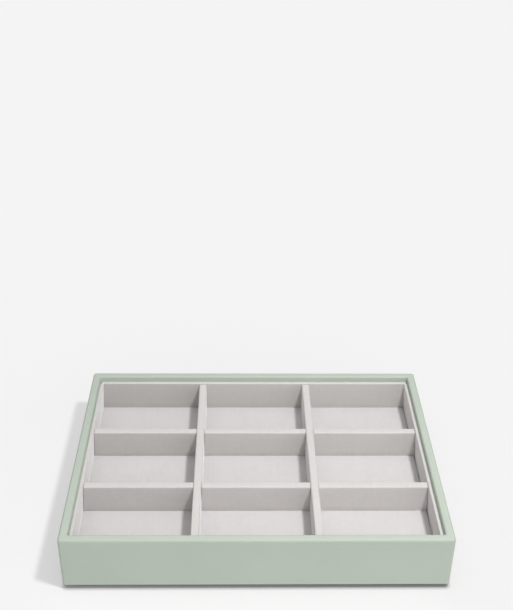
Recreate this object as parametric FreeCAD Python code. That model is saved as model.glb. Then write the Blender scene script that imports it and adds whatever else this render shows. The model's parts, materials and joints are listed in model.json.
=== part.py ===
"""A shallow stackable jewelry tray with a lift-out grid of velvet dividers.

The body is four mitred boards and a bottom board, covered in faux leather that is turned over the
rim and under the body. Velvet-covered cards stand on a padded floor and line the walls, and two
long dividers straddle two cross dividers on half-lap slots. A plinth under the body drops into the
rim of a like tray, so the trays stack.

Millimetres. The origin is on the table at the middle of the tray, +X to the right, +Y to the back
and +Z up.
"""

import FreeCAD, Part
import os

# Overall sizes
tray_width = 250.0
tray_depth = 180.0
body_height = 39.0
plinth_height = 3.4
corner_radius = 2.0
rim_radius = 1.4
sole_radius = 0.6

# Boards and covering
wall_thickness = 4.5
bottom_thickness = 4.5
cover_thickness = 0.7
turn_in_depth = 14.0
turn_under_width = 12.0
fold_radius = 0.8

# Lining of the walls
lining_drop = 4.5
lining_gap = 0.3
lining_card_thickness = 0.8
velvet_thickness = 0.6
lining_turn_over = 4.0
lining_edge_radius = 0.8

# Padded floor
pad_card_thickness = 1.4
pad_foam_thickness = 4.0
pad_edge_radius = 0.4
pad_clearance = 0.25

# Plinth
plinth_corner_radius = 2.0
plinth_edge_radius = 0.8
stacking_clearance = 0.6

# Dividers
divider_core_thickness = 4.0
long_divider_drop = 0.6
cross_divider_drop = 2.1
divider_edge_radius = 1.0
front_row_depth = 47.8
middle_row_depth = 52.5
end_clearance = 0.3
slot_clearance = 0.2
lap_clearance = 0.3

# Heights that follow
body_low = plinth_height
rim_top = body_low + body_height
board_low = body_low + cover_thickness
board_top = rim_top - cover_thickness
bottom_top = board_low + bottom_thickness
turn_in_low = rim_top - turn_in_depth
lining_top = rim_top - lining_drop
foam_low = bottom_top + pad_card_thickness
foam_top = foam_low + pad_foam_thickness
floor_level = foam_top + velvet_thickness
long_divider_height = lining_top - long_divider_drop - floor_level
cross_divider_height = lining_top - cross_divider_drop - floor_level
lap_level = floor_level + cross_divider_height / 2

# Widths that follow: the boards' inner faces, the opening inside the rim, the lined space at its top
board_width = tray_width - 2 * cover_thickness
board_depth = tray_depth - 2 * cover_thickness
inner_width = board_width - 2 * wall_thickness
inner_depth = board_depth - 2 * wall_thickness
opening_width = inner_width - 2 * cover_thickness
opening_depth = inner_depth - 2 * cover_thickness
lining_thickness = lining_card_thickness + 2 * velvet_thickness
lined_width = opening_width - 2 * (lining_gap + lining_thickness)
lined_depth = opening_depth - 2 * (lining_gap + lining_thickness)

# The side linings lean: their tops line up with the gap inside the rim, their feet reach the boards
side_lean = (inner_width - lined_width) / 2 - velvet_thickness - lining_card_thickness

# Places of the dividers: three equal columns, and rows measured from the front lining
divider_thickness = divider_core_thickness + 2 * velvet_thickness
slot_width = divider_thickness + 2 * slot_clearance
column_width = (lined_width - 2 * divider_thickness) / 3
long_divider_x = (column_width + divider_thickness) / 2
front_cross_y = -lined_depth / 2 + front_row_depth + divider_thickness / 2
back_cross_y = front_cross_y + middle_row_depth + divider_thickness

same_height = 1e-6
origin = FreeCAD.Vector(0, 0, 0)
across = FreeCAD.Vector(1, 0, 0)
back = FreeCAD.Vector(0, 1, 0)
up = FreeCAD.Vector(0, 0, 1)


def block(low, high):
    """A box between two corners."""
    size = [far - near for near, far in zip(low, high)]
    return Part.makeBox(*size, FreeCAD.Vector(*low))


def centred_block(width, depth, low, high):
    """A box centred on the origin in plan, between two heights."""
    return block((-width / 2, -depth / 2, low), (width / 2, depth / 2, high))


def edges_at(shape, height):
    """Edges that lie level at one height."""
    return [edge for edge in shape.Edges
            if all(abs(corner.Z - height) < same_height for corner in edge.Vertexes)]


def upright_edges(shape):
    """Straight edges that stand upright."""
    return [edge for edge in shape.Edges
            if abs(edge.Vertexes[0].Z - edge.Vertexes[-1].Z) > same_height]


def lengthwise_edges(shape, height):
    """Level edges along X at one height."""
    return [edge for edge in edges_at(shape, height)
            if abs(edge.Vertexes[0].X - edge.Vertexes[-1].X) > same_height]


def rounded_prism(width, depth, radius, low, high):
    """A centred upright prism with round corners in plan."""
    prism = centred_block(width, depth, low, high)
    return prism.makeFillet(radius, upright_edges(prism))


def mirrored_back(shape):
    """The same piece on the other side, front to back."""
    return shape.mirror(origin, back)


def mirrored_across(shape):
    """The same piece on the other side, left to right."""
    return shape.mirror(origin, across)


def mitre_wedge(half_length, half_across, low, high):
    """The part of the body's ring of walls that belongs to the wall on the -Y side."""
    reach = cover_thickness + wall_thickness
    outline = [(-half_length, -half_across), (half_length, -half_across),
               (half_length - reach, -half_across + reach), (-half_length + reach, -half_across + reach)]
    corners = [FreeCAD.Vector(x, y, low) for x, y in outline]
    face = Part.Face(Part.makePolygon(corners + corners[:1]))
    return face.extrude(up * (high - low))


def mitred_board(length, across_boards):
    """A wall board on the -Y side of a ring of the given outer size, with mitred ends.

    Its two upper long edges are rounded under the covering. The outer one is rounded by the
    caller, along with the upright corners.
    """
    outer = -across_boards / 2
    board = block((-length / 2, outer, board_low), (length / 2, outer + wall_thickness, board_top))
    inner_edge = [edge for edge in lengthwise_edges(board, board_top)
                  if edge.Vertexes[0].Y > outer + wall_thickness / 2]
    board = board.makeFillet(rim_radius - cover_thickness, inner_edge)
    reach = cover_thickness
    return board.common(mitre_wedge(length / 2 + reach, across_boards / 2 + reach, board_low, board_top))


def wall_boards():
    """The four walls, inside the covering."""
    envelope = rounded_prism(board_width, board_depth, corner_radius - cover_thickness, board_low, board_top)
    envelope = envelope.makeFillet(rim_radius - cover_thickness, edges_at(envelope, board_top))
    front = mitred_board(board_width, board_depth).common(envelope)
    side = mitred_board(board_depth, board_width)
    side.rotate(origin, up, -90)
    left = side.common(envelope)
    return {
        "front_wall_board": front,
        "back_wall_board": mirrored_back(front),
        "left_wall_board": left,
        "right_wall_board": mirrored_across(left),
    }


def leather_cover(walls):
    """The covering: outside, rim, turned in at the top and turned under at the bottom."""
    skin = rounded_prism(tray_width, tray_depth, corner_radius, body_low, rim_top)
    skin = skin.makeFillet(sole_radius, edges_at(skin, body_low))
    skin = skin.cut(rounded_prism(opening_width, opening_depth, fold_radius, turn_in_low, rim_top))
    skin = skin.makeFillet(rim_radius, edges_at(skin, rim_top))
    skin = skin.cut(centred_block(inner_width, inner_depth, board_low, turn_in_low))
    window_width = tray_width - 2 * turn_under_width
    window_depth = tray_depth - 2 * turn_under_width
    skin = skin.cut(centred_block(window_width, window_depth, body_low, board_low))
    for wall in walls:
        skin = skin.cut(wall)
    return skin


def plinth():
    """The panel under the body and the velvet over its underside and edges."""
    width = opening_width - 2 * stacking_clearance
    depth = opening_depth - 2 * stacking_clearance
    cover = rounded_prism(width, depth, plinth_corner_radius, 0, plinth_height)
    cover = cover.makeFillet(plinth_edge_radius, edges_at(cover, 0))
    board = rounded_prism(width - 2 * velvet_thickness, depth - 2 * velvet_thickness,
                          plinth_corner_radius - velvet_thickness, velvet_thickness, plinth_height)
    return {"plinth_board": board, "plinth_cover": cover.cut(board)}


def padded_floor():
    """Card and foam on the bottom board, with velvet over the top and round the edges."""
    width = inner_width - 2 * pad_clearance
    depth = inner_depth - 2 * pad_clearance
    filling_width = width - 2 * velvet_thickness
    filling_depth = depth - 2 * velvet_thickness
    velvet = centred_block(width, depth, bottom_top, floor_level)
    velvet = velvet.makeFillet(pad_edge_radius, edges_at(velvet, floor_level))
    velvet = velvet.cut(centred_block(filling_width, filling_depth, bottom_top, foam_top))
    return {
        "pad_card": centred_block(filling_width, filling_depth, bottom_top, foam_low),
        "pad_foam": centred_block(filling_width, filling_depth, foam_low, foam_top),
        "pad_velvet": velvet,
    }


def leaning_panel(length, faces, low, high, lean):
    """A panel along X between two faces given at the lining's top, leaning out towards -Y at its foot."""
    near, far = faces
    low_shift = lean * (lining_top - low) / (lining_top - floor_level)
    high_shift = lean * (lining_top - high) / (lining_top - floor_level)
    outline = [(near - low_shift, low), (far - low_shift, low), (far - high_shift, high), (near - high_shift, high)]
    corners = [FreeCAD.Vector(-length / 2, y, z) for y, z in outline]
    return Part.Face(Part.makePolygon(corners + corners[:1])).extrude(across * length)


def lining(length, opening, lean):
    """A lining on the -Y side: a card, and velvet over its face, top edge and upper back."""
    back_face = -opening / 2 + lining_gap
    card_back = back_face + velvet_thickness
    card_face = card_back + lining_card_thickness
    face = card_face + velvet_thickness
    velvet = leaning_panel(length, (back_face, face), floor_level, lining_top, lean)
    velvet = velvet.makeFillet(lining_edge_radius, lengthwise_edges(velvet, lining_top))
    card = leaning_panel(length, (card_back, card_face), floor_level, lining_top - velvet_thickness, lean)
    bare_back = leaning_panel(length, (back_face, card_back), floor_level, lining_top - lining_turn_over, lean)
    return card, velvet.cut(card).cut(bare_back)


def linings():
    """Upright linings of the front and back walls, and leaning ones of the side walls between them."""
    pieces = {}
    front_pair = lining(opening_width - 2 * fold_radius, opening_depth, 0)
    side_pair = lining(lined_depth, opening_width, side_lean)
    for part, front_piece, side_piece in zip(("card", "velvet"), front_pair, side_pair):
        side_piece.rotate(origin, up, -90)
        pieces["front_lining_" + part] = front_piece
        pieces["back_lining_" + part] = mirrored_back(front_piece)
        pieces["left_lining_" + part] = side_piece
        pieces["right_lining_" + part] = mirrored_across(side_piece)
    return pieces


def divider(length, height, slots):
    """A divider along X, standing on the floor: a core, a velvet sleeve, both cut by the slots."""
    top = floor_level + height
    sleeve = centred_block(length, divider_thickness, floor_level, top)
    sleeve = sleeve.makeFillet(divider_edge_radius, lengthwise_edges(sleeve, top))
    core_length = length - 2 * velvet_thickness
    core = centred_block(core_length, divider_core_thickness, floor_level, top - velvet_thickness)
    core_edges = lengthwise_edges(core, top - velvet_thickness)
    core = core.makeFillet(divider_edge_radius - velvet_thickness, core_edges)
    sleeve = sleeve.cut(core)
    for slot in slots:
        core = core.cut(slot)
        sleeve = sleeve.cut(slot)
    return core, sleeve


def slot_at(place, low, high):
    """A slot right through a divider at one place along it."""
    half_slot = slot_width / 2
    return block((place - half_slot, -divider_thickness, low), (place + half_slot, divider_thickness, high))


def dividers():
    """Two cross dividers slotted from above, and two long ones slotted from below to straddle them."""
    pieces = {}
    cross_top = floor_level + cross_divider_height
    cross_slots = [slot_at(x, lap_level, cross_top) for x in (-long_divider_x, long_divider_x)]
    cross_pair = divider(lined_width - 2 * end_clearance, cross_divider_height, cross_slots)
    long_slots = [slot_at(y, floor_level, lap_level + lap_clearance) for y in (front_cross_y, back_cross_y)]
    long_pair = divider(lined_depth - 2 * end_clearance, long_divider_height, long_slots)
    for part, cross_piece, long_piece in zip(("core", "velvet"), cross_pair, long_pair):
        long_piece.rotate(origin, up, 90)
        pieces["front_cross_divider_" + part] = cross_piece.translated(back * front_cross_y)
        pieces["back_cross_divider_" + part] = cross_piece.translated(back * back_cross_y)
        pieces["left_long_divider_" + part] = long_piece.translated(across * -long_divider_x)
        pieces["right_long_divider_" + part] = long_piece.translated(across * long_divider_x)
    return pieces


def jewelry_tray():
    """Every piece of the tray by name."""
    walls = wall_boards()
    pieces = dict(walls)
    pieces["bottom_board"] = centred_block(inner_width, inner_depth, board_low, bottom_top)
    pieces["leather_cover"] = leather_cover(walls.values())
    pieces.update(plinth())
    pieces.update(padded_floor())
    pieces.update(linings())
    pieces.update(dividers())
    return pieces


os.makedirs("parts", exist_ok=True)
for name, shape in jewelry_tray().items():
    solid = shape.Solids[0]
    solid.exportStep(os.path.join("parts", name + ".step"))
    print(f"{name}: {len(shape.Solids)} solid, {solid.Volume:.1f} mm3, valid {solid.isValid()}")
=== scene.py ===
"""Jewelry tray: faux-leather covering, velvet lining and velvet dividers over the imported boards.

Run as a script in Blender 4.5. It models every soft piece over the board that carries it, gives
each surface its finish, and sets a plain studio stage seen from the photograph's angle.
"""

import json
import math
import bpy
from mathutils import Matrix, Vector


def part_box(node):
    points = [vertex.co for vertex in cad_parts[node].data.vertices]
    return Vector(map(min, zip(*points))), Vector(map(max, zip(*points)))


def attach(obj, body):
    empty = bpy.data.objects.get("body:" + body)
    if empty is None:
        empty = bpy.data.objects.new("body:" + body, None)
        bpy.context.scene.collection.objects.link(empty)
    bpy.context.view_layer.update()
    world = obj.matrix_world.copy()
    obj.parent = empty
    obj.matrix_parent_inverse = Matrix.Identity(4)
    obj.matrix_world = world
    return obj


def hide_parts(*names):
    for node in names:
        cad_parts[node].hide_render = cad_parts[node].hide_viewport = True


bl_info = {
    "name": "Jewelry Tray",
    "version": (1, 0, 0),
    "blender": (4, 5, 0),
    "location": "View3D > Sidebar > Tray",
    "description": "Covers, lines and divides the jewelry tray, and sets its stage",
    "category": "Object",
}

from typing import NamedTuple

import bmesh
import bpy
from bpy.props import FloatProperty, FloatVectorProperty, PointerProperty
from mathutils import Matrix, Vector

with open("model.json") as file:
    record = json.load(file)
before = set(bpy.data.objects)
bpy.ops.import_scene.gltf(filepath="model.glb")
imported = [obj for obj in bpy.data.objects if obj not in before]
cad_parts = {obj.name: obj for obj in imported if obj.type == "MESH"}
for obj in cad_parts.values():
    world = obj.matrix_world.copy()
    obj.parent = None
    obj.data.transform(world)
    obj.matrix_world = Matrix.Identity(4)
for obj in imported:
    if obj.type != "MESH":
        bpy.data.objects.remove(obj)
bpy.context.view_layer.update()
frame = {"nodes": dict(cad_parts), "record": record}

MM = 0.001
# Turn of each wall from the front one, in degrees
WALL_TURNS = {"front": 0, "back": 180, "left": -90, "right": 90}
# Camera sensor in millimetres, and half the floor's width in metres
SENSOR_WIDTH = 36
FLOOR_HALF_WIDTH = 4

# Steps of the grid that the pieces are cut into
SLICE = 6 * MM
SLEEVE_SLICE = 4 * MM

# Distance that counts as none
TOUCH = 1e-6
# Distance at which a cut snaps to a point beside it
WELD = 0.01 * MM
# Cosine past which an edge runs along an axis
STRAIGHT = 0.999
# Angle past which an edge is sharp
SHARP = math.radians(45)
# How far the low sky at the front is turned to the right
FRONT_TURN = 0.7
# How near the tray has to be for the floor's painted shade in gaps
GAP_SHADE_REACH = 4.1 * MM
# Shares of the skies' strengths that light a level floor
OVERHEAD_ON_FLOOR = 0.25
FRONT_ON_FLOOR = 0.071
LEFT_ON_FLOOR = 0.212

# Sizes read from the frame
COVER_LOW, COVER_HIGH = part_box("leather_cover")
WALL_LOW, WALL_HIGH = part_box("front_wall_board")
CARD_LOW, CARD_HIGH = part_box("front_lining_card")
LINING_LOW, LINING_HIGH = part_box("front_lining_velvet")
CROSS_LOW, CROSS_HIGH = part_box("front_cross_divider_velvet")
COVER_THICKNESS = WALL_LOW.y - COVER_LOW.y
RIM_WIDTH = WALL_HIGH.y - COVER_LOW.y + COVER_THICKNESS
CARD_THICKNESS = CARD_HIGH.y - CARD_LOW.y
VELVET_THICKNESS = LINING_HIGH.y - CARD_HIGH.y
LINING_THICKNESS = LINING_HIGH.y - LINING_LOW.y
LINING_HEIGHT = LINING_HIGH.z - LINING_LOW.z
LAP_LEVEL = (CROSS_LOW.z + CROSS_HIGH.z) / 2


def length_property(name, description, millimetres):
    """A size in metres that shows as a length."""
    return FloatProperty(name=name, description=description, default=millimetres * MM,
                         min=0, precision=5, subtype="DISTANCE", unit="LENGTH")


def colour_property(name, description, colour):
    """A linear colour."""
    return FloatVectorProperty(name=name, description=description, default=colour,
                               min=0, max=1, size=3, subtype="COLOR")


class TraySizes(bpy.types.PropertyGroup):
    """Sizes of the soft pieces that their boards don't settle."""

    corner_radius: length_property("Corner radius", "Upright outer corners of the covering", 2.0)
    rim_radius: length_property("Rim radius", "Rounding of the rim's two edges", 1.4)
    sole_radius: length_property("Sole radius", "Rounding of the covering's lower edge", 0.6)
    fold_radius: length_property("Fold radius", "Inner corners of the turned-in covering", 0.8)
    turn_in: length_property("Turn-in", "Covering carried down inside the rim", 14.0)
    turn_under: length_property("Turn-under", "Covering carried in under the body", 12.0)
    lining_edge: length_property("Lining edge", "Rounding of the lining's top inner edge", 0.7)
    lining_heel: length_property("Lining heel", "Rounding of the lining's top edge at the wall", 0.2)
    lining_nap: length_property("Lining nap", "Pile that fills the gap behind the lining's top", 0.27)
    lining_turn_over: length_property("Lining turn-over", "Velvet carried down behind its card", 4.0)
    divider_edge: length_property("Divider edge", "Rounding of the dividers' long edges", 1.0)
    divider_end: length_property("Divider end", "Rounding of the dividers' ends", 0.3)
    end_nap: length_property("End nap", "Pile that fills the gap at the cross dividers' ends", 0.15)
    crown_nap: length_property("Crown nap", "Pile that stands up along the cross dividers' tops", 0.5)
    slot_clearance: length_property("Slot clearance", "Room on each side of a divider in its slot", 0.2)
    lap_clearance: length_property("Lap clearance", "Room between two lapped dividers", 0.3)
    pad_edge: length_property("Pad edge", "Rounding of the floor pad's edge", 0.4)
    joint_depth: length_property("Joint depth", "How far the floor pad falls off along the right lining", 1.2)
    joint_width: length_property("Joint width", "Width of that slope", 1.0)
    plinth_corner: length_property("Plinth corner", "Upright corners of the plinth", 2.0)
    plinth_edge: length_property("Plinth edge", "Rounding of the plinth's lower edge", 0.8)


class TrayFinishes(bpy.types.PropertyGroup):
    """Colours and tones of the tray's surfaces, with painted light and shade on some of them, and the scale
    of their grain.
    """

    leather: colour_property("Leather", "Sage green of the covering", (0.4644, 0.5201, 0.4491))
    floor_velvet: colour_property("Floor velvet", "Pale grey of the pile on the floor", (0.592, 0.570, 0.573))
    # Painted shade: the walls' and dividers' velvet is a warmer copy of the floor's, standing in for their
    # warm shade
    wall_velvet_warm_shade: colour_property("Wall velvet warm shade", "Warmer grey of the pile on walls and dividers",
                                 (0.593, 0.572, 0.556))
    board: colour_property("Board", "Raw fibreboard", (0.36, 0.23, 0.13))
    card: colour_property("Card", "Grey lining card", (0.33, 0.32, 0.29))
    foam: colour_property("Foam", "Foam of the floor pad", (0.80, 0.77, 0.68))
    # Painted shade: how dark the covering is painted where it bends over an edge
    painted_bend_shade: FloatProperty(name="Painted bend shade", description="Tone of the covering where it bends over an edge",
                             default=0.88, min=0, max=1, subtype="FACTOR")
    leather_grain: length_property("Leather grain", "Width of a pebble of the grain", 0.7)
    velvet_pile: length_property("Velvet pile", "Width of a tuft of the pile", 0.45)
    # Painted shade: tone that darkens the back lining's upright faces
    painted_back_shade: FloatProperty(name="Painted back shade", description="Tone of the back lining's nap", default=0.94)
    # Painted light: tone that lightens the front cross divider's upright faces
    painted_front_light: FloatProperty(name="Painted front light", description="Tone of the front cross divider's nap",
                             default=1.13)
    # Painted light: how fast the upright pile is painted lighter towards the right
    brush: FloatProperty(name="Brush", description="How fast the upright pile lightens to the right",
                         default=1.4)


class TrayStudio(bpy.types.PropertyGroup):
    """Light, floor and camera."""

    key_place: FloatVectorProperty(name="Key place", description="Where the key light stands",
                                   default=(0.205, -0.210, 0.724), subtype="XYZ", unit="LENGTH")
    key_width: length_property("Key width", "Diameter of the key light", 80.0)
    key_power: FloatProperty(name="Key power", description="Power of the key light in watts", default=3.94)
    overhead: FloatProperty(name="Overhead", description="Strength of the sky overhead", default=1.534)
    front: FloatProperty(name="Front", description="Strength of the low sky at the front right", default=1.48)
    left: FloatProperty(name="Left", description="Strength of the sky at the left", default=0.515)
    floor_level: FloatProperty(name="Floor level", description="Brightness of the open floor", default=0.904)
    floor_albedo: FloatProperty(name="Floor albedo", description="Share of the light that the floor shows",
                                default=0.45, min=0, max=1, subtype="FACTOR")
    floor_bounce: FloatProperty(name="Floor bounce", description="Share of the light that it casts back",
                                default=0.75, min=0, max=1, subtype="FACTOR")
    camera_place: FloatVectorProperty(name="Camera place", description="Where the camera stands",
                                      default=(-0.01101, -0.52743, 0.48447), subtype="XYZ", unit="LENGTH")
    camera_pitch: FloatProperty(name="Camera pitch", description="How far the camera looks down",
                                default=math.radians(31.59), subtype="ANGLE", unit="ROTATION")
    camera_yaw: FloatProperty(name="Camera yaw", description="How far the camera looks to the right",
                              default=math.radians(1.13), subtype="ANGLE", unit="ROTATION")
    camera_roll: FloatProperty(name="Camera roll", description="Turn of the camera about its own axis",
                               default=math.radians(0.72), subtype="ANGLE", unit="ROTATION")
    lens: FloatProperty(name="Lens", description="Focal length for a 36 mm sensor", default=57.12,
                        subtype="DISTANCE_CAMERA")


# Shader expressions


class Value:
    """A socket of a node graph, used in Python expressions on numbers."""

    def __init__(self, graph, socket):
        self.graph = graph
        self.socket = socket

    def math(self, operation, first, second):
        """One step of arithmetic."""
        return self.graph.node("ShaderNodeMath", {"operation": operation}, {0: first, 1: second})

    def __add__(self, other):
        return self.math("ADD", self, other)

    __radd__ = __add__

    def __sub__(self, other):
        return self.math("SUBTRACT", self, other)

    def __rsub__(self, other):
        return self.math("SUBTRACT", other, self)

    def __mul__(self, other):
        return self.math("MULTIPLY", self, other)

    __rmul__ = __mul__

    def __truediv__(self, other):
        return self.math("DIVIDE", self, other)

    def __rtruediv__(self, other):
        return self.math("DIVIDE", other, self)


class Graph:
    """A node tree that is built in Python."""

    def __init__(self, owner):
        owner.use_nodes = True
        self.tree = owner.node_tree
        self.tree.nodes.clear()

    def node(self, kind, settings=None, sockets=None, output=0):
        """Add a node: its settings first, then its sockets' values or links, and return an output."""
        made = self.tree.nodes.new(kind)
        for key, setting in (settings or {}).items():
            if key == "stops":
                self.set_stops(made.color_ramp, setting)
            else:
                setattr(made, key, setting)
        for key, content in (sockets or {}).items():
            if isinstance(content, Value):
                self.tree.links.new(content.socket, made.inputs[key])
            else:
                made.inputs[key].default_value = content
        return Value(self, made.outputs[output]) if made.outputs else made

    def part(self, vector, axis):
        """One component of a vector."""
        return self.node("ShaderNodeSeparateXYZ", {}, {"Vector": vector}, output=axis)

    def above_zero(self, value):
        """A number, or nought where it is negative."""
        return self.node("ShaderNodeMath", {"operation": "MAXIMUM"}, {0: value, 1: 0.0})

    def set_stops(self, ramp, stops):
        """Give a ramp its stops, each a position and a grey level."""
        while len(ramp.elements) < len(stops):
            ramp.elements.new(1)
        for element, (position, level) in zip(ramp.elements, stops):
            element.position = position
            element.color = (level, level, level, 1)


class Finish(Graph):
    """A material, with the patterns that the finishes share."""

    def __init__(self, name):
        self.material = bpy.data.materials.new(name)
        super().__init__(self.material)
        self.place = self.node("ShaderNodeTexCoord", output="Object")

    def noise(self, width, detail=2, roughness=0.5, stretch=(1, 1, 1)):
        """Soft noise with features of about the given width, stretched along the axes."""
        point = self.node("ShaderNodeMapping", {}, {"Vector": self.place, "Scale": stretch})
        return self.node("ShaderNodeTexNoise", {"noise_dimensions": "3D"},
                         {"Vector": point, "Scale": 1 / width, "Detail": detail, "Roughness": roughness})

    def cells(self, width, feature="F1"):
        """Cell noise with cells of the given width."""
        return self.node("ShaderNodeTexVoronoi", {"voronoi_dimensions": "3D", "feature": feature},
                         {"Vector": self.place, "Scale": 1 / width})

    def ramp(self, value, *stops):
        """A number carried through grey stops."""
        return self.node("ShaderNodeValToRGB", {"stops": stops}, {"Fac": value})

    def mix(self, share, first, second):
        """A colour between two colours."""
        settings = {"data_type": "RGBA"}
        return self.node("ShaderNodeMix", settings, {0: share, 6: first, 7: second}, output=2)

    def even_grey(self, level):
        """A grey colour of a number."""
        return self.node("ShaderNodeCombineColor", {}, {"Red": level, "Green": level, "Blue": level})

    def upward(self):
        """How far the surface faces up: 1 on a level top, 0 on an upright face."""
        return self.part(self.node("ShaderNodeTexCoord", output="Normal"), "Z")

    def bump(self, height, depth, strength):
        """A normal roughened by a height that is worth a real depth."""
        return self.node("ShaderNodeBump", {}, {"Height": height, "Distance": depth, "Strength": strength})

    def surface(self, sockets):
        """Close the finish with a Principled shader."""
        shader = self.node("ShaderNodeBsdfPrincipled", {}, sockets)
        self.node("ShaderNodeOutputMaterial", {}, {"Surface": shader})
        return self.material


def shade(colour, factor):
    """A colour made lighter or darker, as a socket takes it."""
    return tuple(min(1, channel * factor) for channel in colour) + (1,)


# Finishes


def sage_leather(finishes):
    """Faux leather: fine pebbled grain with soft creases and a low gloss, with painted shade where it bends
    over an edge.
    """
    leather = Finish("sage_leather")
    grain = finishes.leather_grain
    pebble = leather.cells(grain, "SMOOTH_F1")
    crease = leather.ramp(leather.cells(grain, "DISTANCE_TO_EDGE"), (0.0, 0.0), (0.25, 1.0))
    cloud = leather.noise(width=28 * MM, detail=3)
    pores = leather.noise(width=grain / 4, detail=2)
    tone = leather.mix(cloud, shade(finishes.leather, 0.95), shade(finishes.leather, 1.04))
    creased = leather.mix(0.08 * (1 - crease), tone, shade(finishes.leather, 0.55))
    # Painted shade: the covering is darkened where it turns between level and upright, over its rounded edges
    edge_shade_mask = leather.ramp(leather.upward(), (0.05, 0.0), (0.35, 1.0), (0.85, 1.0), (0.98, 0.0))
    colour = leather.mix((1 - finishes.painted_bend_shade) * edge_shade_mask, creased, shade(finishes.leather, 0))
    height = 0.35 * crease - 0.7 * pebble + 0.15 * pores
    return leather.surface({
        "Base Color": colour,
        "Roughness": 0.54 + 0.12 * cloud,
        "Specular IOR Level": 0.35,
        "Normal": leather.bump(height, depth=0.06 * MM, strength=0.6),
    })


def grey_velvet(finishes, grey, painted_tone=1.0):
    """Short-pile velvet: fine tufts, streaks along the pile, faint clouds and a pale sheen.

    The painted tone scales the upright faces, as painted shade below 1 and painted light above it; the
    upright faces also get painted light that grows to the right.
    """
    velvet = Finish("grey_velvet")
    dark = 0.76
    light = 1.22
    pile = finishes.velvet_pile
    tuft = velvet.noise(width=pile, detail=2, roughness=0.7)
    nap = velvet.noise(width=4 * MM, detail=3, roughness=0.6)
    streak = velvet.noise(width=1.6 * MM, detail=3, roughness=0.6, stretch=(1, 0.06, 0.06))
    level_streak = velvet.noise(width=1.6 * MM, detail=3, roughness=0.6, stretch=(0.06, 0.06, 1))
    cloud = velvet.noise(width=45 * MM, detail=2)
    share = 0.40 * tuft + 0.20 * nap + 0.15 * streak + 0.15 * level_streak + 0.10 * cloud
    # Painted light: the upright faces are painted lighter towards the right
    painted_right_share = share + finishes.brush * velvet.part(velvet.place, "X")
    # The upright faces carry the painted tone; level faces keep the plain tones
    upright = velvet.mix(painted_right_share, shade(grey, dark * painted_tone), shade(grey, light * painted_tone))
    level = velvet.mix(share, shade(grey, dark), shade(grey, light))
    colour = velvet.mix(velvet.ramp(velvet.upward(), (0.5, 0.0), (0.9, 1.0)), upright, level)
    return velvet.surface({
        "Base Color": colour,
        "Roughness": 0.88 + 0.10 * tuft,
        "Specular IOR Level": 0.15,
        "Sheen Weight": 0.6,
        "Sheen Roughness": 0.5,
        "Normal": velvet.bump(0.7 * tuft + 0.3 * nap, depth=0.25 * MM, strength=0.5),
    })


def fibre_board(finishes):
    """Raw fibreboard: packed fibres with darker specks."""
    board = Finish("fibre_board")
    fibre = board.noise(width=0.6 * MM, detail=4, roughness=0.7, stretch=(0.25, 0.25, 1))
    speck = board.ramp(board.noise(width=0.9 * MM, detail=1), (0.62, 0.0), (0.72, 1.0))
    tone = board.mix(fibre, shade(finishes.board, 0.75), shade(finishes.board, 1.25))
    return board.surface({
        "Base Color": board.mix(0.35 * speck, tone, shade(finishes.board, 0.45)),
        "Roughness": 0.78 + 0.15 * fibre,
        "Normal": board.bump(fibre, depth=0.08 * MM, strength=0.6),
    })


def grey_card(finishes):
    """Grey board card: matted paper fibres with pale flecks."""
    card = Finish("grey_card")
    fibre = card.noise(width=0.5 * MM, detail=4, roughness=0.75)
    fleck = card.ramp(card.noise(width=1.4 * MM, detail=2), (0.60, 0.0), (0.70, 1.0))
    tone = card.mix(fibre, shade(finishes.card, 0.8), shade(finishes.card, 1.2))
    return card.surface({
        "Base Color": card.mix(0.3 * fleck, tone, shade(finishes.card, 1.7)),
        "Roughness": 0.85 + 0.1 * fibre,
        "Normal": card.bump(fibre, depth=0.05 * MM, strength=0.6),
    })


def pad_foam(finishes):
    """Open-cell foam sheet: small pores."""
    foam = Finish("pad_foam")
    pore = foam.ramp(foam.cells(width=0.5 * MM), (0.15, 0.0), (0.55, 1.0))
    return foam.surface({
        "Base Color": foam.mix(pore, shade(finishes.foam, 0.6), shade(finishes.foam, 1.05)),
        "Roughness": 0.9 + 0.08 * pore,
        "Normal": foam.bump(pore, depth=0.2 * MM, strength=0.8),
    })


def studio_floor(studio):
    """Studio floor that looks evenly bright.

    A glow makes up for what the lights leave, but not in tight gaps, where the colour that the floor shows is
    also darkened as painted shade.
    """
    floor = Finish("studio_floor")
    key = studio.key_place
    aim = -Vector(key).normalized()
    step = floor.node("ShaderNodeVectorMath", {"operation": "SUBTRACT"}, {0: floor.place, 1: key})
    reach = floor.node("ShaderNodeVectorMath", {"operation": "LENGTH"}, {0: step}, output="Value")
    ahead = floor.node("ShaderNodeVectorMath", {"operation": "DOT_PRODUCT"}, {0: step, 1: aim},
                       output="Value")
    lit = ahead * (studio.key_power * key[2] / math.pi ** 2) / (reach * reach * reach * reach)
    sky = studio.overhead * OVERHEAD_ON_FLOOR
    sky += studio.front * FRONT_ON_FLOOR
    sky += studio.left * LEFT_ON_FLOOR
    glow = studio.floor_level - studio.floor_albedo * (sky + lit)
    # Painted shade: where the tray closes over the floor, its glow is cut
    gap = floor.node("ShaderNodeAmbientOcclusion", {"samples": 8}, {"Distance": GAP_SHADE_REACH}, output="AO")
    seen = floor.node("ShaderNodeLightPath", output="Is Camera Ray")
    shown = glow * gap * gap * gap * seen
    # Painted shade: the colour the camera sees is darkened in the gap
    share = studio.floor_bounce + seen * (studio.floor_albedo * gap * gap - studio.floor_bounce)
    return floor.surface({
        "Base Color": floor.even_grey(share),
        "Roughness": 1.0,
        "Specular IOR Level": 0.0,
        "Emission Color": floor.even_grey(shown),
        "Emission Strength": 1.0,
    })


# Modelling helpers


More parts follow.
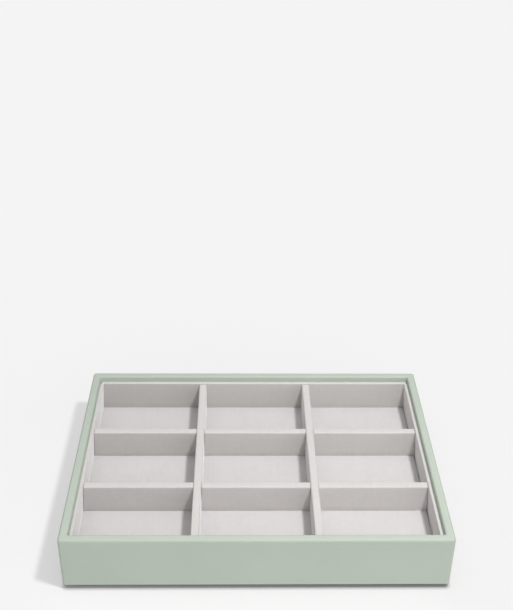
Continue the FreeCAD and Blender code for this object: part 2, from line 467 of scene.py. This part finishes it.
class Plan(NamedTuple):
    """A level rounded rectangle centred on the tray."""

    half_width: float
    half_depth: float
    radius: float
    height: float

    def inset(self, distance, radius, height):
        """A like plan inside this one."""
        return Plan(self.half_width - distance, self.half_depth - distance, radius, height)

    def point(self, direction):
        """The point of the outline that a corner has in a direction from its centre."""
        x = math.copysign(self.half_width - self.radius, direction.x) + self.radius * direction.x
        y = math.copysign(self.half_depth - self.radius, direction.y) + self.radius * direction.y
        return Vector((x, y, self.height))

    def direction(self, point):
        """The direction from its corner's centre that a point of the outline has."""
        x = (point.x - math.copysign(self.half_width - self.radius, point.x)) / self.radius
        y = (point.y - math.copysign(self.half_depth - self.radius, point.y)) / self.radius
        return Vector((x, y))


def start_loop(bm, plan, corner_steps):
    """A closed loop of edges on a plan, with the given number of points in each corner."""
    turn = Matrix.Rotation(math.pi / (4 * corner_steps), 4, "Z")
    circle = bmesh.ops.create_circle(bm, segments=4 * corner_steps, radius=1, matrix=turn)
    for vert in circle["verts"]:
        vert.co = plan.point(vert.co)
    return list(bm.edges)


def extrude_loop(bm, loop, old, new):
    """Extrude a loop of edges from one plan to the next, and return the new loop."""
    grown = bmesh.ops.extrude_edge_only(bm, edges=loop)["geom"]
    verts = {item for item in grown if isinstance(item, bmesh.types.BMVert)}
    for vert in verts:
        vert.co = new.point(old.direction(vert.co))
    return [item for item in grown
            if isinstance(item, bmesh.types.BMEdge) and set(item.verts) <= verts]


def round_edges(bm, edges, radius, segments):
    """Round sharp edges."""
    bmesh.ops.bevel(bm, geom=edges, affect="EDGES", offset_type="OFFSET", offset=radius,
                    segments=segments, profile=0.5, material=-1, clamp_overlap=False)


def slice_up(bm, axis, step):
    """Cut the mesh into even slices about a step thick, across one axis."""
    places = [vert.co[axis] for vert in bm.verts]
    count = max(1, round((max(places) - min(places)) / step))
    normal = Vector((0, 0, 0))
    normal[axis] = 1
    for index in range(1, count):
        place = min(places) + (max(places) - min(places)) * index / count
        cut_across(bm, normal * place, normal)


def cuboid(bm, low, high):
    """A box between two corners."""
    low, high = Vector(low), Vector(high)
    made = bmesh.ops.create_cube(bm, size=1)
    bmesh.ops.scale(bm, vec=high - low, verts=made["verts"])
    bmesh.ops.translate(bm, vec=(low + high) / 2, verts=made["verts"])


def delete_faces(bm, wanted):
    """Delete the faces that a test picks out by their middle."""
    faces = [face for face in bm.faces if wanted(face.calc_center_median())]
    bmesh.ops.delete(bm, geom=faces, context="FACES")


def cut_across(bm, point, normal):
    """Add edges where a plane crosses the mesh."""
    everything = bm.verts[:] + bm.edges[:] + bm.faces[:]
    bmesh.ops.bisect_plane(bm, geom=everything, dist=WELD, plane_co=point, plane_no=normal)


def is_along(edge, axis):
    """Whether an edge runs along an axis."""
    return abs((edge.verts[0].co - edge.verts[1].co).normalized()[axis]) > STRAIGHT


def edges_at(bm, axis, place):
    """The edges that lie at one place along an axis."""
    return [edge for edge in bm.edges
            if all(abs(vert.co[axis] - place) < TOUCH for vert in edge.verts)]


def lining_lean(side):
    """How far the foot of a lining stands out beyond its top."""
    low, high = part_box(side + "_lining_card")
    out = 1 if side in ("front", "back") else 0
    rise = (high.z - low.z) / LINING_HEIGHT
    return (high[out] - low[out] - CARD_THICKNESS) / rise


def add_piece(bm, name, material, slot, body, *nodes):
    """Make a piece of a bmesh. It rides on a body and stands for CAD nodes."""
    mesh = bpy.data.meshes.new(name)
    bmesh.ops.recalc_face_normals(bm, faces=bm.faces)
    bm.to_mesh(mesh)
    bm.free()
    mesh.materials.append(material)
    mesh.shade_smooth()
    piece = bpy.data.objects.new(name, mesh)
    bpy.context.scene.collection.objects.link(piece)
    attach(piece, body)
    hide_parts(*nodes)
    return piece


def thicken(piece, thickness):
    """Give a skin its thickness, inwards from its face."""
    wall = piece.modifiers.new("thickness", "SOLIDIFY")
    wall.thickness = thickness
    wall.offset = -1
    wall.use_even_offset = True
    piece.modifiers.new("normals", "WEIGHTED_NORMAL")


# Pieces


class TRAY_OT_leather_cover(bpy.types.Operator):
    """Wrap the body in faux leather: up the outside, over the rim, down inside and in underneath"""

    bl_idname = "tray.leather_cover"
    bl_label = "Leather Cover"

    def execute(self, context):
        sizes = context.scene.tray_sizes
        bm = bmesh.new()
        outer_low = Plan(COVER_HIGH.x, COVER_HIGH.y, sizes.corner_radius, COVER_LOW.z)
        outer_top = outer_low.inset(0, sizes.corner_radius, COVER_HIGH.z)
        inner_top = outer_low.inset(RIM_WIDTH, sizes.fold_radius, COVER_HIGH.z)
        inner_low = outer_low.inset(RIM_WIDTH, sizes.fold_radius, COVER_HIGH.z - sizes.turn_in)
        under = outer_low.inset(sizes.turn_under, sizes.fold_radius, COVER_LOW.z)
        sole = start_loop(bm, outer_low, corner_steps=9)
        extrude_loop(bm, sole, outer_low, under)
        rim_outer = extrude_loop(bm, sole, outer_low, outer_top)
        rim_inner = extrude_loop(bm, rim_outer, outer_top, inner_top)
        extrude_loop(bm, rim_inner, inner_top, inner_low)
        bmesh.ops.recalc_face_normals(bm, faces=bm.faces)
        round_edges(bm, rim_outer + rim_inner, sizes.rim_radius, segments=6)
        lower = [edge for edge in edges_at(bm, 2, COVER_LOW.z)
                 if not edge.is_boundary and edge.calc_face_angle() > SHARP]
        round_edges(bm, lower, sizes.sole_radius, segments=4)
        for axis in range(3):
            slice_up(bm, axis, SLICE)
        material = sage_leather(context.scene.tray_finishes)
        cover = add_piece(bm, "leather_covering", material, "sage_leather", "tray", "leather_cover")
        thicken(cover, COVER_THICKNESS)
        return {"FINISHED"}


class TRAY_OT_wall_linings(bpy.types.Operator):
    """Line the walls with velvet turned over the top edge of each card"""

    bl_idname = "tray.wall_linings"
    bl_label = "Wall Linings"

    def execute(self, context):
        sizes = context.scene.tray_sizes
        finishes = context.scene.tray_finishes
        for side, turn in WALL_TURNS.items():
            # Painted shade on the back lining, through its painted tone
            painted_tone = finishes.painted_back_shade if side == "back" else 1.0
            material = grey_velvet(finishes, finishes.wall_velvet_warm_shade, painted_tone)
            bm = self.strip(side, sizes)
            bmesh.ops.rotate(bm, verts=bm.verts, matrix=Matrix.Rotation(math.radians(turn), 3, "Z"))
            node = side + "_lining_velvet"
            piece = add_piece(bm, side + "_lining", material, "grey_velvet", "tray", node)
            thicken(piece, VELVET_THICKNESS)
        return {"FINISHED"}

    def strip(self, side, sizes):
        """Model a lining as if on the front wall, leaning with its card.

        The right one reaches down into the open joint.
        """
        low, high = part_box(side + "_lining_velvet")
        along, out = (0, 1) if side in ("front", "back") else (1, 0)
        face = -min(abs(low[out]), abs(high[out]))
        back = face - LINING_THICKNESS
        slope = lining_lean(side) / LINING_HEIGHT
        foot = low.z - (sizes.joint_depth if side == "right" else 0)
        hem = high.z - sizes.lining_turn_over
        section = [(face - slope * (high.z - foot), foot), (face, high.z), (back - sizes.lining_nap, high.z),
                   (back - slope * sizes.lining_turn_over, hem)]
        bm = bmesh.new()
        verts = [bm.verts.new((low[along], y, z)) for y, z in section]
        edges = [bm.edges.new(pair) for pair in zip(verts, verts[1:])]
        grown = bmesh.ops.extrude_edge_only(bm, edges=edges)["geom"]
        far = [item for item in grown if isinstance(item, bmesh.types.BMVert)]
        bmesh.ops.translate(bm, vec=(high[along] - low[along], 0, 0), verts=far)
        top = [edge for edge in bm.edges if is_along(edge, 0) and not edge.is_boundary]
        heel, crest = sorted(top, key=lambda edge: edge.verts[0].co.y)
        round_edges(bm, [crest], sizes.lining_edge, segments=4)
        round_edges(bm, [heel], sizes.lining_heel, segments=3)
        for axis in (0, 2):
            slice_up(bm, axis, SLICE)
        return bm


class TRAY_OT_floor_pad(bpy.types.Operator):
    """Lay the foam of the floor and cover it with velvet turned down round its edge"""

    bl_idname = "tray.floor_pad"
    bl_label = "Floor Pad"

    def execute(self, context):
        sizes = context.scene.tray_sizes
        finishes = context.scene.tray_finishes
        low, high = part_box("pad_velvet")
        velvet = self.slab(low, high, sizes)
        delete_faces(velvet, lambda middle: middle.z < low.z + TOUCH)
        material = grey_velvet(finishes, finishes.floor_velvet)
        pad = add_piece(velvet, "floor_velvet", material, "grey_velvet", "tray", "pad_velvet")
        thicken(pad, VELVET_THICKNESS)
        foam = self.slab(*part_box("pad_foam"), sizes)
        filling = add_piece(foam, "floor_foam", pad_foam(finishes), "pad_foam", "tray", "pad_foam")
        return {"FINISHED"}

    def slab(self, low, high, sizes):
        """A slab with rounded edges that falls off along the right lining, where the joint stands open."""
        bm = bmesh.new()
        cuboid(bm, low, high)
        bottom = edges_at(bm, 2, low.z)
        round_edges(bm, [edge for edge in bm.edges if edge not in bottom], sizes.pad_edge, segments=4)
        for axis in (0, 1):
            slice_up(bm, axis, SLICE)
        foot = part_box("right_lining_card")[1].x - CARD_THICKNESS - VELVET_THICKNESS
        start = foot - sizes.joint_width
        cuts = 3
        for step in range(cuts + 1):
            cut_across(bm, Vector((start + sizes.joint_width * step / cuts, 0, 0)), Vector((1, 0, 0)))
        for vert in bm.verts:
            share = min(1, max(0, (vert.co.x - start) / sizes.joint_width))
            if vert.co.z > high.z - sizes.pad_edge - TOUCH:
                vert.co.z -= sizes.joint_depth * share * share * (3 - 2 * share)
        return bm


class TRAY_OT_plinth(bpy.types.Operator):
    """Cover the plinth's underside and edges with velvet"""

    bl_idname = "tray.plinth"
    bl_label = "Plinth"

    def execute(self, context):
        sizes = context.scene.tray_sizes
        low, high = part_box("plinth_cover")
        bm = bmesh.new()
        cuboid(bm, low, high)
        delete_faces(bm, lambda middle: middle.z > high.z - TOUCH)
        round_edges(bm, [edge for edge in bm.edges if is_along(edge, 2)], sizes.plinth_corner, segments=5)
        round_edges(bm, edges_at(bm, 2, low.z), sizes.plinth_edge, segments=4)
        for axis in (0, 1):
            slice_up(bm, axis, SLICE)
        finishes = context.scene.tray_finishes
        material = grey_velvet(finishes, finishes.floor_velvet)
        cover = add_piece(bm, "plinth_velvet", material, "grey_velvet", "tray", "plinth_cover")
        thicken(cover, VELVET_THICKNESS)
        return {"FINISHED"}


class TRAY_OT_dividers(bpy.types.Operator):
    """Sleeve the dividers in velvet, slotted where they lap over each other"""

    bl_idname = "tray.dividers"
    bl_label = "Dividers"

    def execute(self, context):
        finishes = context.scene.tray_finishes
        material = grey_velvet(finishes, finishes.wall_velvet_warm_shade)
        # Painted light on the front cross divider's faces
        light = grey_velvet(finishes, finishes.wall_velvet_warm_shade, finishes.painted_front_light)
        self.sleeve(context, "front_cross", "cross_dividers", light)
        self.sleeve(context, "back_cross", "cross_dividers", material)
        for name in ("left_long", "right_long"):
            self.sleeve(context, name, name + "_divider", material)
        return {"FINISHED"}

    def sleeve(self, context, name, body, material):
        """Model one sleeve over its core."""
        sizes = context.scene.tray_sizes
        node = name + "_divider_velvet"
        low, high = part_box(node)
        is_cross = body == "cross_dividers"
        along = 0 if is_cross else 1
        if is_cross:
            high.z += sizes.crown_nap
        bm = bmesh.new()
        cuboid(bm, low, high)
        delete_faces(bm, lambda middle: middle.z < low.z + TOUCH)
        self.round_sleeve(bm, low[along], high[along], along, sizes)
        crossing = ("left_long", "right_long") if is_cross else ("front_cross", "back_cross")
        for other in crossing:
            self.cut_slot(bm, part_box(other + "_divider_velvet"), along, is_cross, sizes)
        for axis in (along, 2):
            slice_up(bm, axis, SLEEVE_SLICE)
        if is_cross:
            self.lean_ends(bm, high.x, sizes)
        piece = add_piece(bm, name + "_sleeve", material, "grey_velvet", body, node)
        thicken(piece, VELVET_THICKNESS)

    def round_sleeve(self, bm, start, end, along, sizes):
        """Round a sleeve's long upper edges, then the edges of its ends a little."""
        upper = [edge for edge in bm.edges if is_along(edge, along) and not edge.is_boundary]
        round_edges(bm, upper, sizes.divider_edge, segments=4)
        for place in (start, end):
            rim = [edge for edge in edges_at(bm, along, place) if not edge.is_boundary]
            round_edges(bm, rim, sizes.divider_end, segments=3)

    def lean_ends(self, bm, end, sizes):
        """Let the soft ends of a cross sleeve stand out to the leaning side linings."""
        slope = lining_lean("right") / LINING_HEIGHT
        for vert in bm.verts:
            if abs(vert.co.x) > end - sizes.divider_end - TOUCH:
                reach = slope * (LINING_HIGH.z - vert.co.z) + sizes.end_nap
                vert.co.x += math.copysign(reach, vert.co.x)

    def cut_slot(self, bm, other, along, from_above, sizes):
        """Cut the slot that another divider passes through, from above or from below."""
        start = other[0][along] - sizes.slot_clearance
        end = other[1][along] + sizes.slot_clearance
        level = LAP_LEVEL if from_above else LAP_LEVEL + sizes.lap_clearance
        axis = Vector((0, 0, 0))
        axis[along] = 1
        cut_across(bm, axis * start, axis)
        cut_across(bm, axis * end, axis)
        cut_across(bm, Vector((0, 0, level)), Vector((0, 0, 1)))
        delete_faces(bm, lambda middle: start < middle[along] < end and (middle.z > level) == from_above)


class TRAY_OT_boards(bpy.types.Operator):
    """Give the boards and cards inside the tray their raw finishes"""

    bl_idname = "tray.boards"
    bl_label = "Boards"

    def execute(self, context):
        finishes = context.scene.tray_finishes
        made = {
            "fibre_board": fibre_board(finishes),
            "lining_card": grey_card(finishes),
        }
        made["divider_board"] = made["fibre_board"]
        for subpart in frame["record"]["subparts"]:
            material = made.get(subpart["material_slot"])
            if material:
                frame["nodes"][subpart["node"]].material_slots[0].material = material
        return {"FINISHED"}


class TRAY_OT_stage(bpy.types.Operator):
    """Set the floor, the light and the camera"""

    bl_idname = "tray.stage"
    bl_label = "Stage"

    def execute(self, context):
        studio = context.scene.tray_studio
        self.lay_floor(context, studio)
        self.hang_light(context, studio)
        self.place_camera(context, studio)
        context.scene.view_settings.view_transform = "Standard"
        return {"FINISHED"}

    def lay_floor(self, context, studio):
        """A wide level floor."""
        bm = bmesh.new()
        bmesh.ops.create_grid(bm, x_segments=1, y_segments=1, size=FLOOR_HALF_WIDTH)
        mesh = bpy.data.meshes.new("studio_floor")
        bm.to_mesh(mesh)
        bm.free()
        mesh.materials.append(studio_floor(studio))
        floor = bpy.data.objects.new("studio_floor", mesh)
        context.scene.collection.objects.link(floor)

    def hang_light(self, context, studio):
        """A round key light aimed at the tray, and the sky."""
        lamp = bpy.data.lights.new("key_light", "AREA")
        lamp.shape = "DISK"
        lamp.size = studio.key_width
        lamp.energy = studio.key_power
        key = bpy.data.objects.new("key_light", lamp)
        key.location = studio.key_place
        key.rotation_mode = "QUATERNION"
        key.rotation_quaternion = (-key.location).to_track_quat("-Z", "Y")
        context.scene.collection.objects.link(key)
        context.scene.world = bpy.data.worlds.new("studio")
        self.spread_ambient(Graph(context.scene.world), studio)

    def spread_ambient(self, sky, studio):
        """Soft light gathered round the zenith, low at the front right and at the left."""
        direction = sky.node("ShaderNodeTexCoord", output="Generated")
        right, back, up = (sky.part(direction, axis) for axis in "XYZ")
        top = sky.above_zero(up)
        square = top * top
        level = studio.overhead * square * square * square
        level += studio.front * sky.above_zero(FRONT_TURN * right - back - up)
        level += studio.left * sky.above_zero(-1 * right)
        seen = sky.node("ShaderNodeLightPath", output="Is Camera Ray")
        shown = level + seen * (studio.floor_level - level)
        backdrop = sky.node("ShaderNodeBackground", {}, {"Color": (1, 1, 1, 1), "Strength": shown})
        sky.node("ShaderNodeOutputWorld", {}, {"Surface": backdrop})

    def place_camera(self, context, studio):
        """The camera that the scene is seen through."""
        data = bpy.data.cameras.new("camera")
        data.sensor_width = SENSOR_WIDTH
        data.lens = studio.lens
        camera = bpy.data.objects.new("camera", data)
        turn = (Matrix.Rotation(-studio.camera_yaw, 4, "Z")
                @ Matrix.Rotation(math.pi / 2 - studio.camera_pitch, 4, "X")
                @ Matrix.Rotation(studio.camera_roll, 4, "Z"))
        camera.matrix_world = Matrix.Translation(studio.camera_place) @ turn
        context.scene.collection.objects.link(camera)
        context.scene.camera = camera


OPERATORS = (TRAY_OT_leather_cover, TRAY_OT_wall_linings, TRAY_OT_floor_pad, TRAY_OT_plinth,
             TRAY_OT_dividers, TRAY_OT_boards, TRAY_OT_stage)


class TRAY_PT_panel(bpy.types.Panel):
    """Buttons for the tray's pieces and its stage, with their settings"""

    bl_idname = "TRAY_PT_panel"
    bl_label = "Jewelry Tray"
    bl_space_type = "VIEW_3D"
    bl_region_type = "UI"
    bl_category = "Tray"

    def draw(self, context):
        for operator in OPERATORS:
            self.layout.operator(operator.bl_idname)
        for group in GROUPS:
            settings = getattr(context.scene, group)
            box = self.layout.box()
            for name in settings.bl_rna.properties.keys():
                if name not in ("rna_type", "name"):
                    box.prop(settings, name)


GROUPS = {"tray_sizes": TraySizes, "tray_finishes": TrayFinishes, "tray_studio": TrayStudio}
CLASSES = (*GROUPS.values(), *OPERATORS, TRAY_PT_panel)


def register():
    for cls in CLASSES:
        bpy.utils.register_class(cls)
    for name, group in GROUPS.items():
        setattr(bpy.types.Scene, name, PointerProperty(type=group))


def unregister():
    for name in GROUPS:
        delattr(bpy.types.Scene, name)
    for cls in reversed(CLASSES):
        bpy.utils.unregister_class(cls)


def main():
    register()
    bpy.ops.tray.leather_cover()
    bpy.ops.tray.wall_linings()
    bpy.ops.tray.floor_pad()
    bpy.ops.tray.plinth()
    bpy.ops.tray.dividers()
    bpy.ops.tray.boards()
    bpy.ops.tray.stage()


if __name__ == "__main__":
    main()
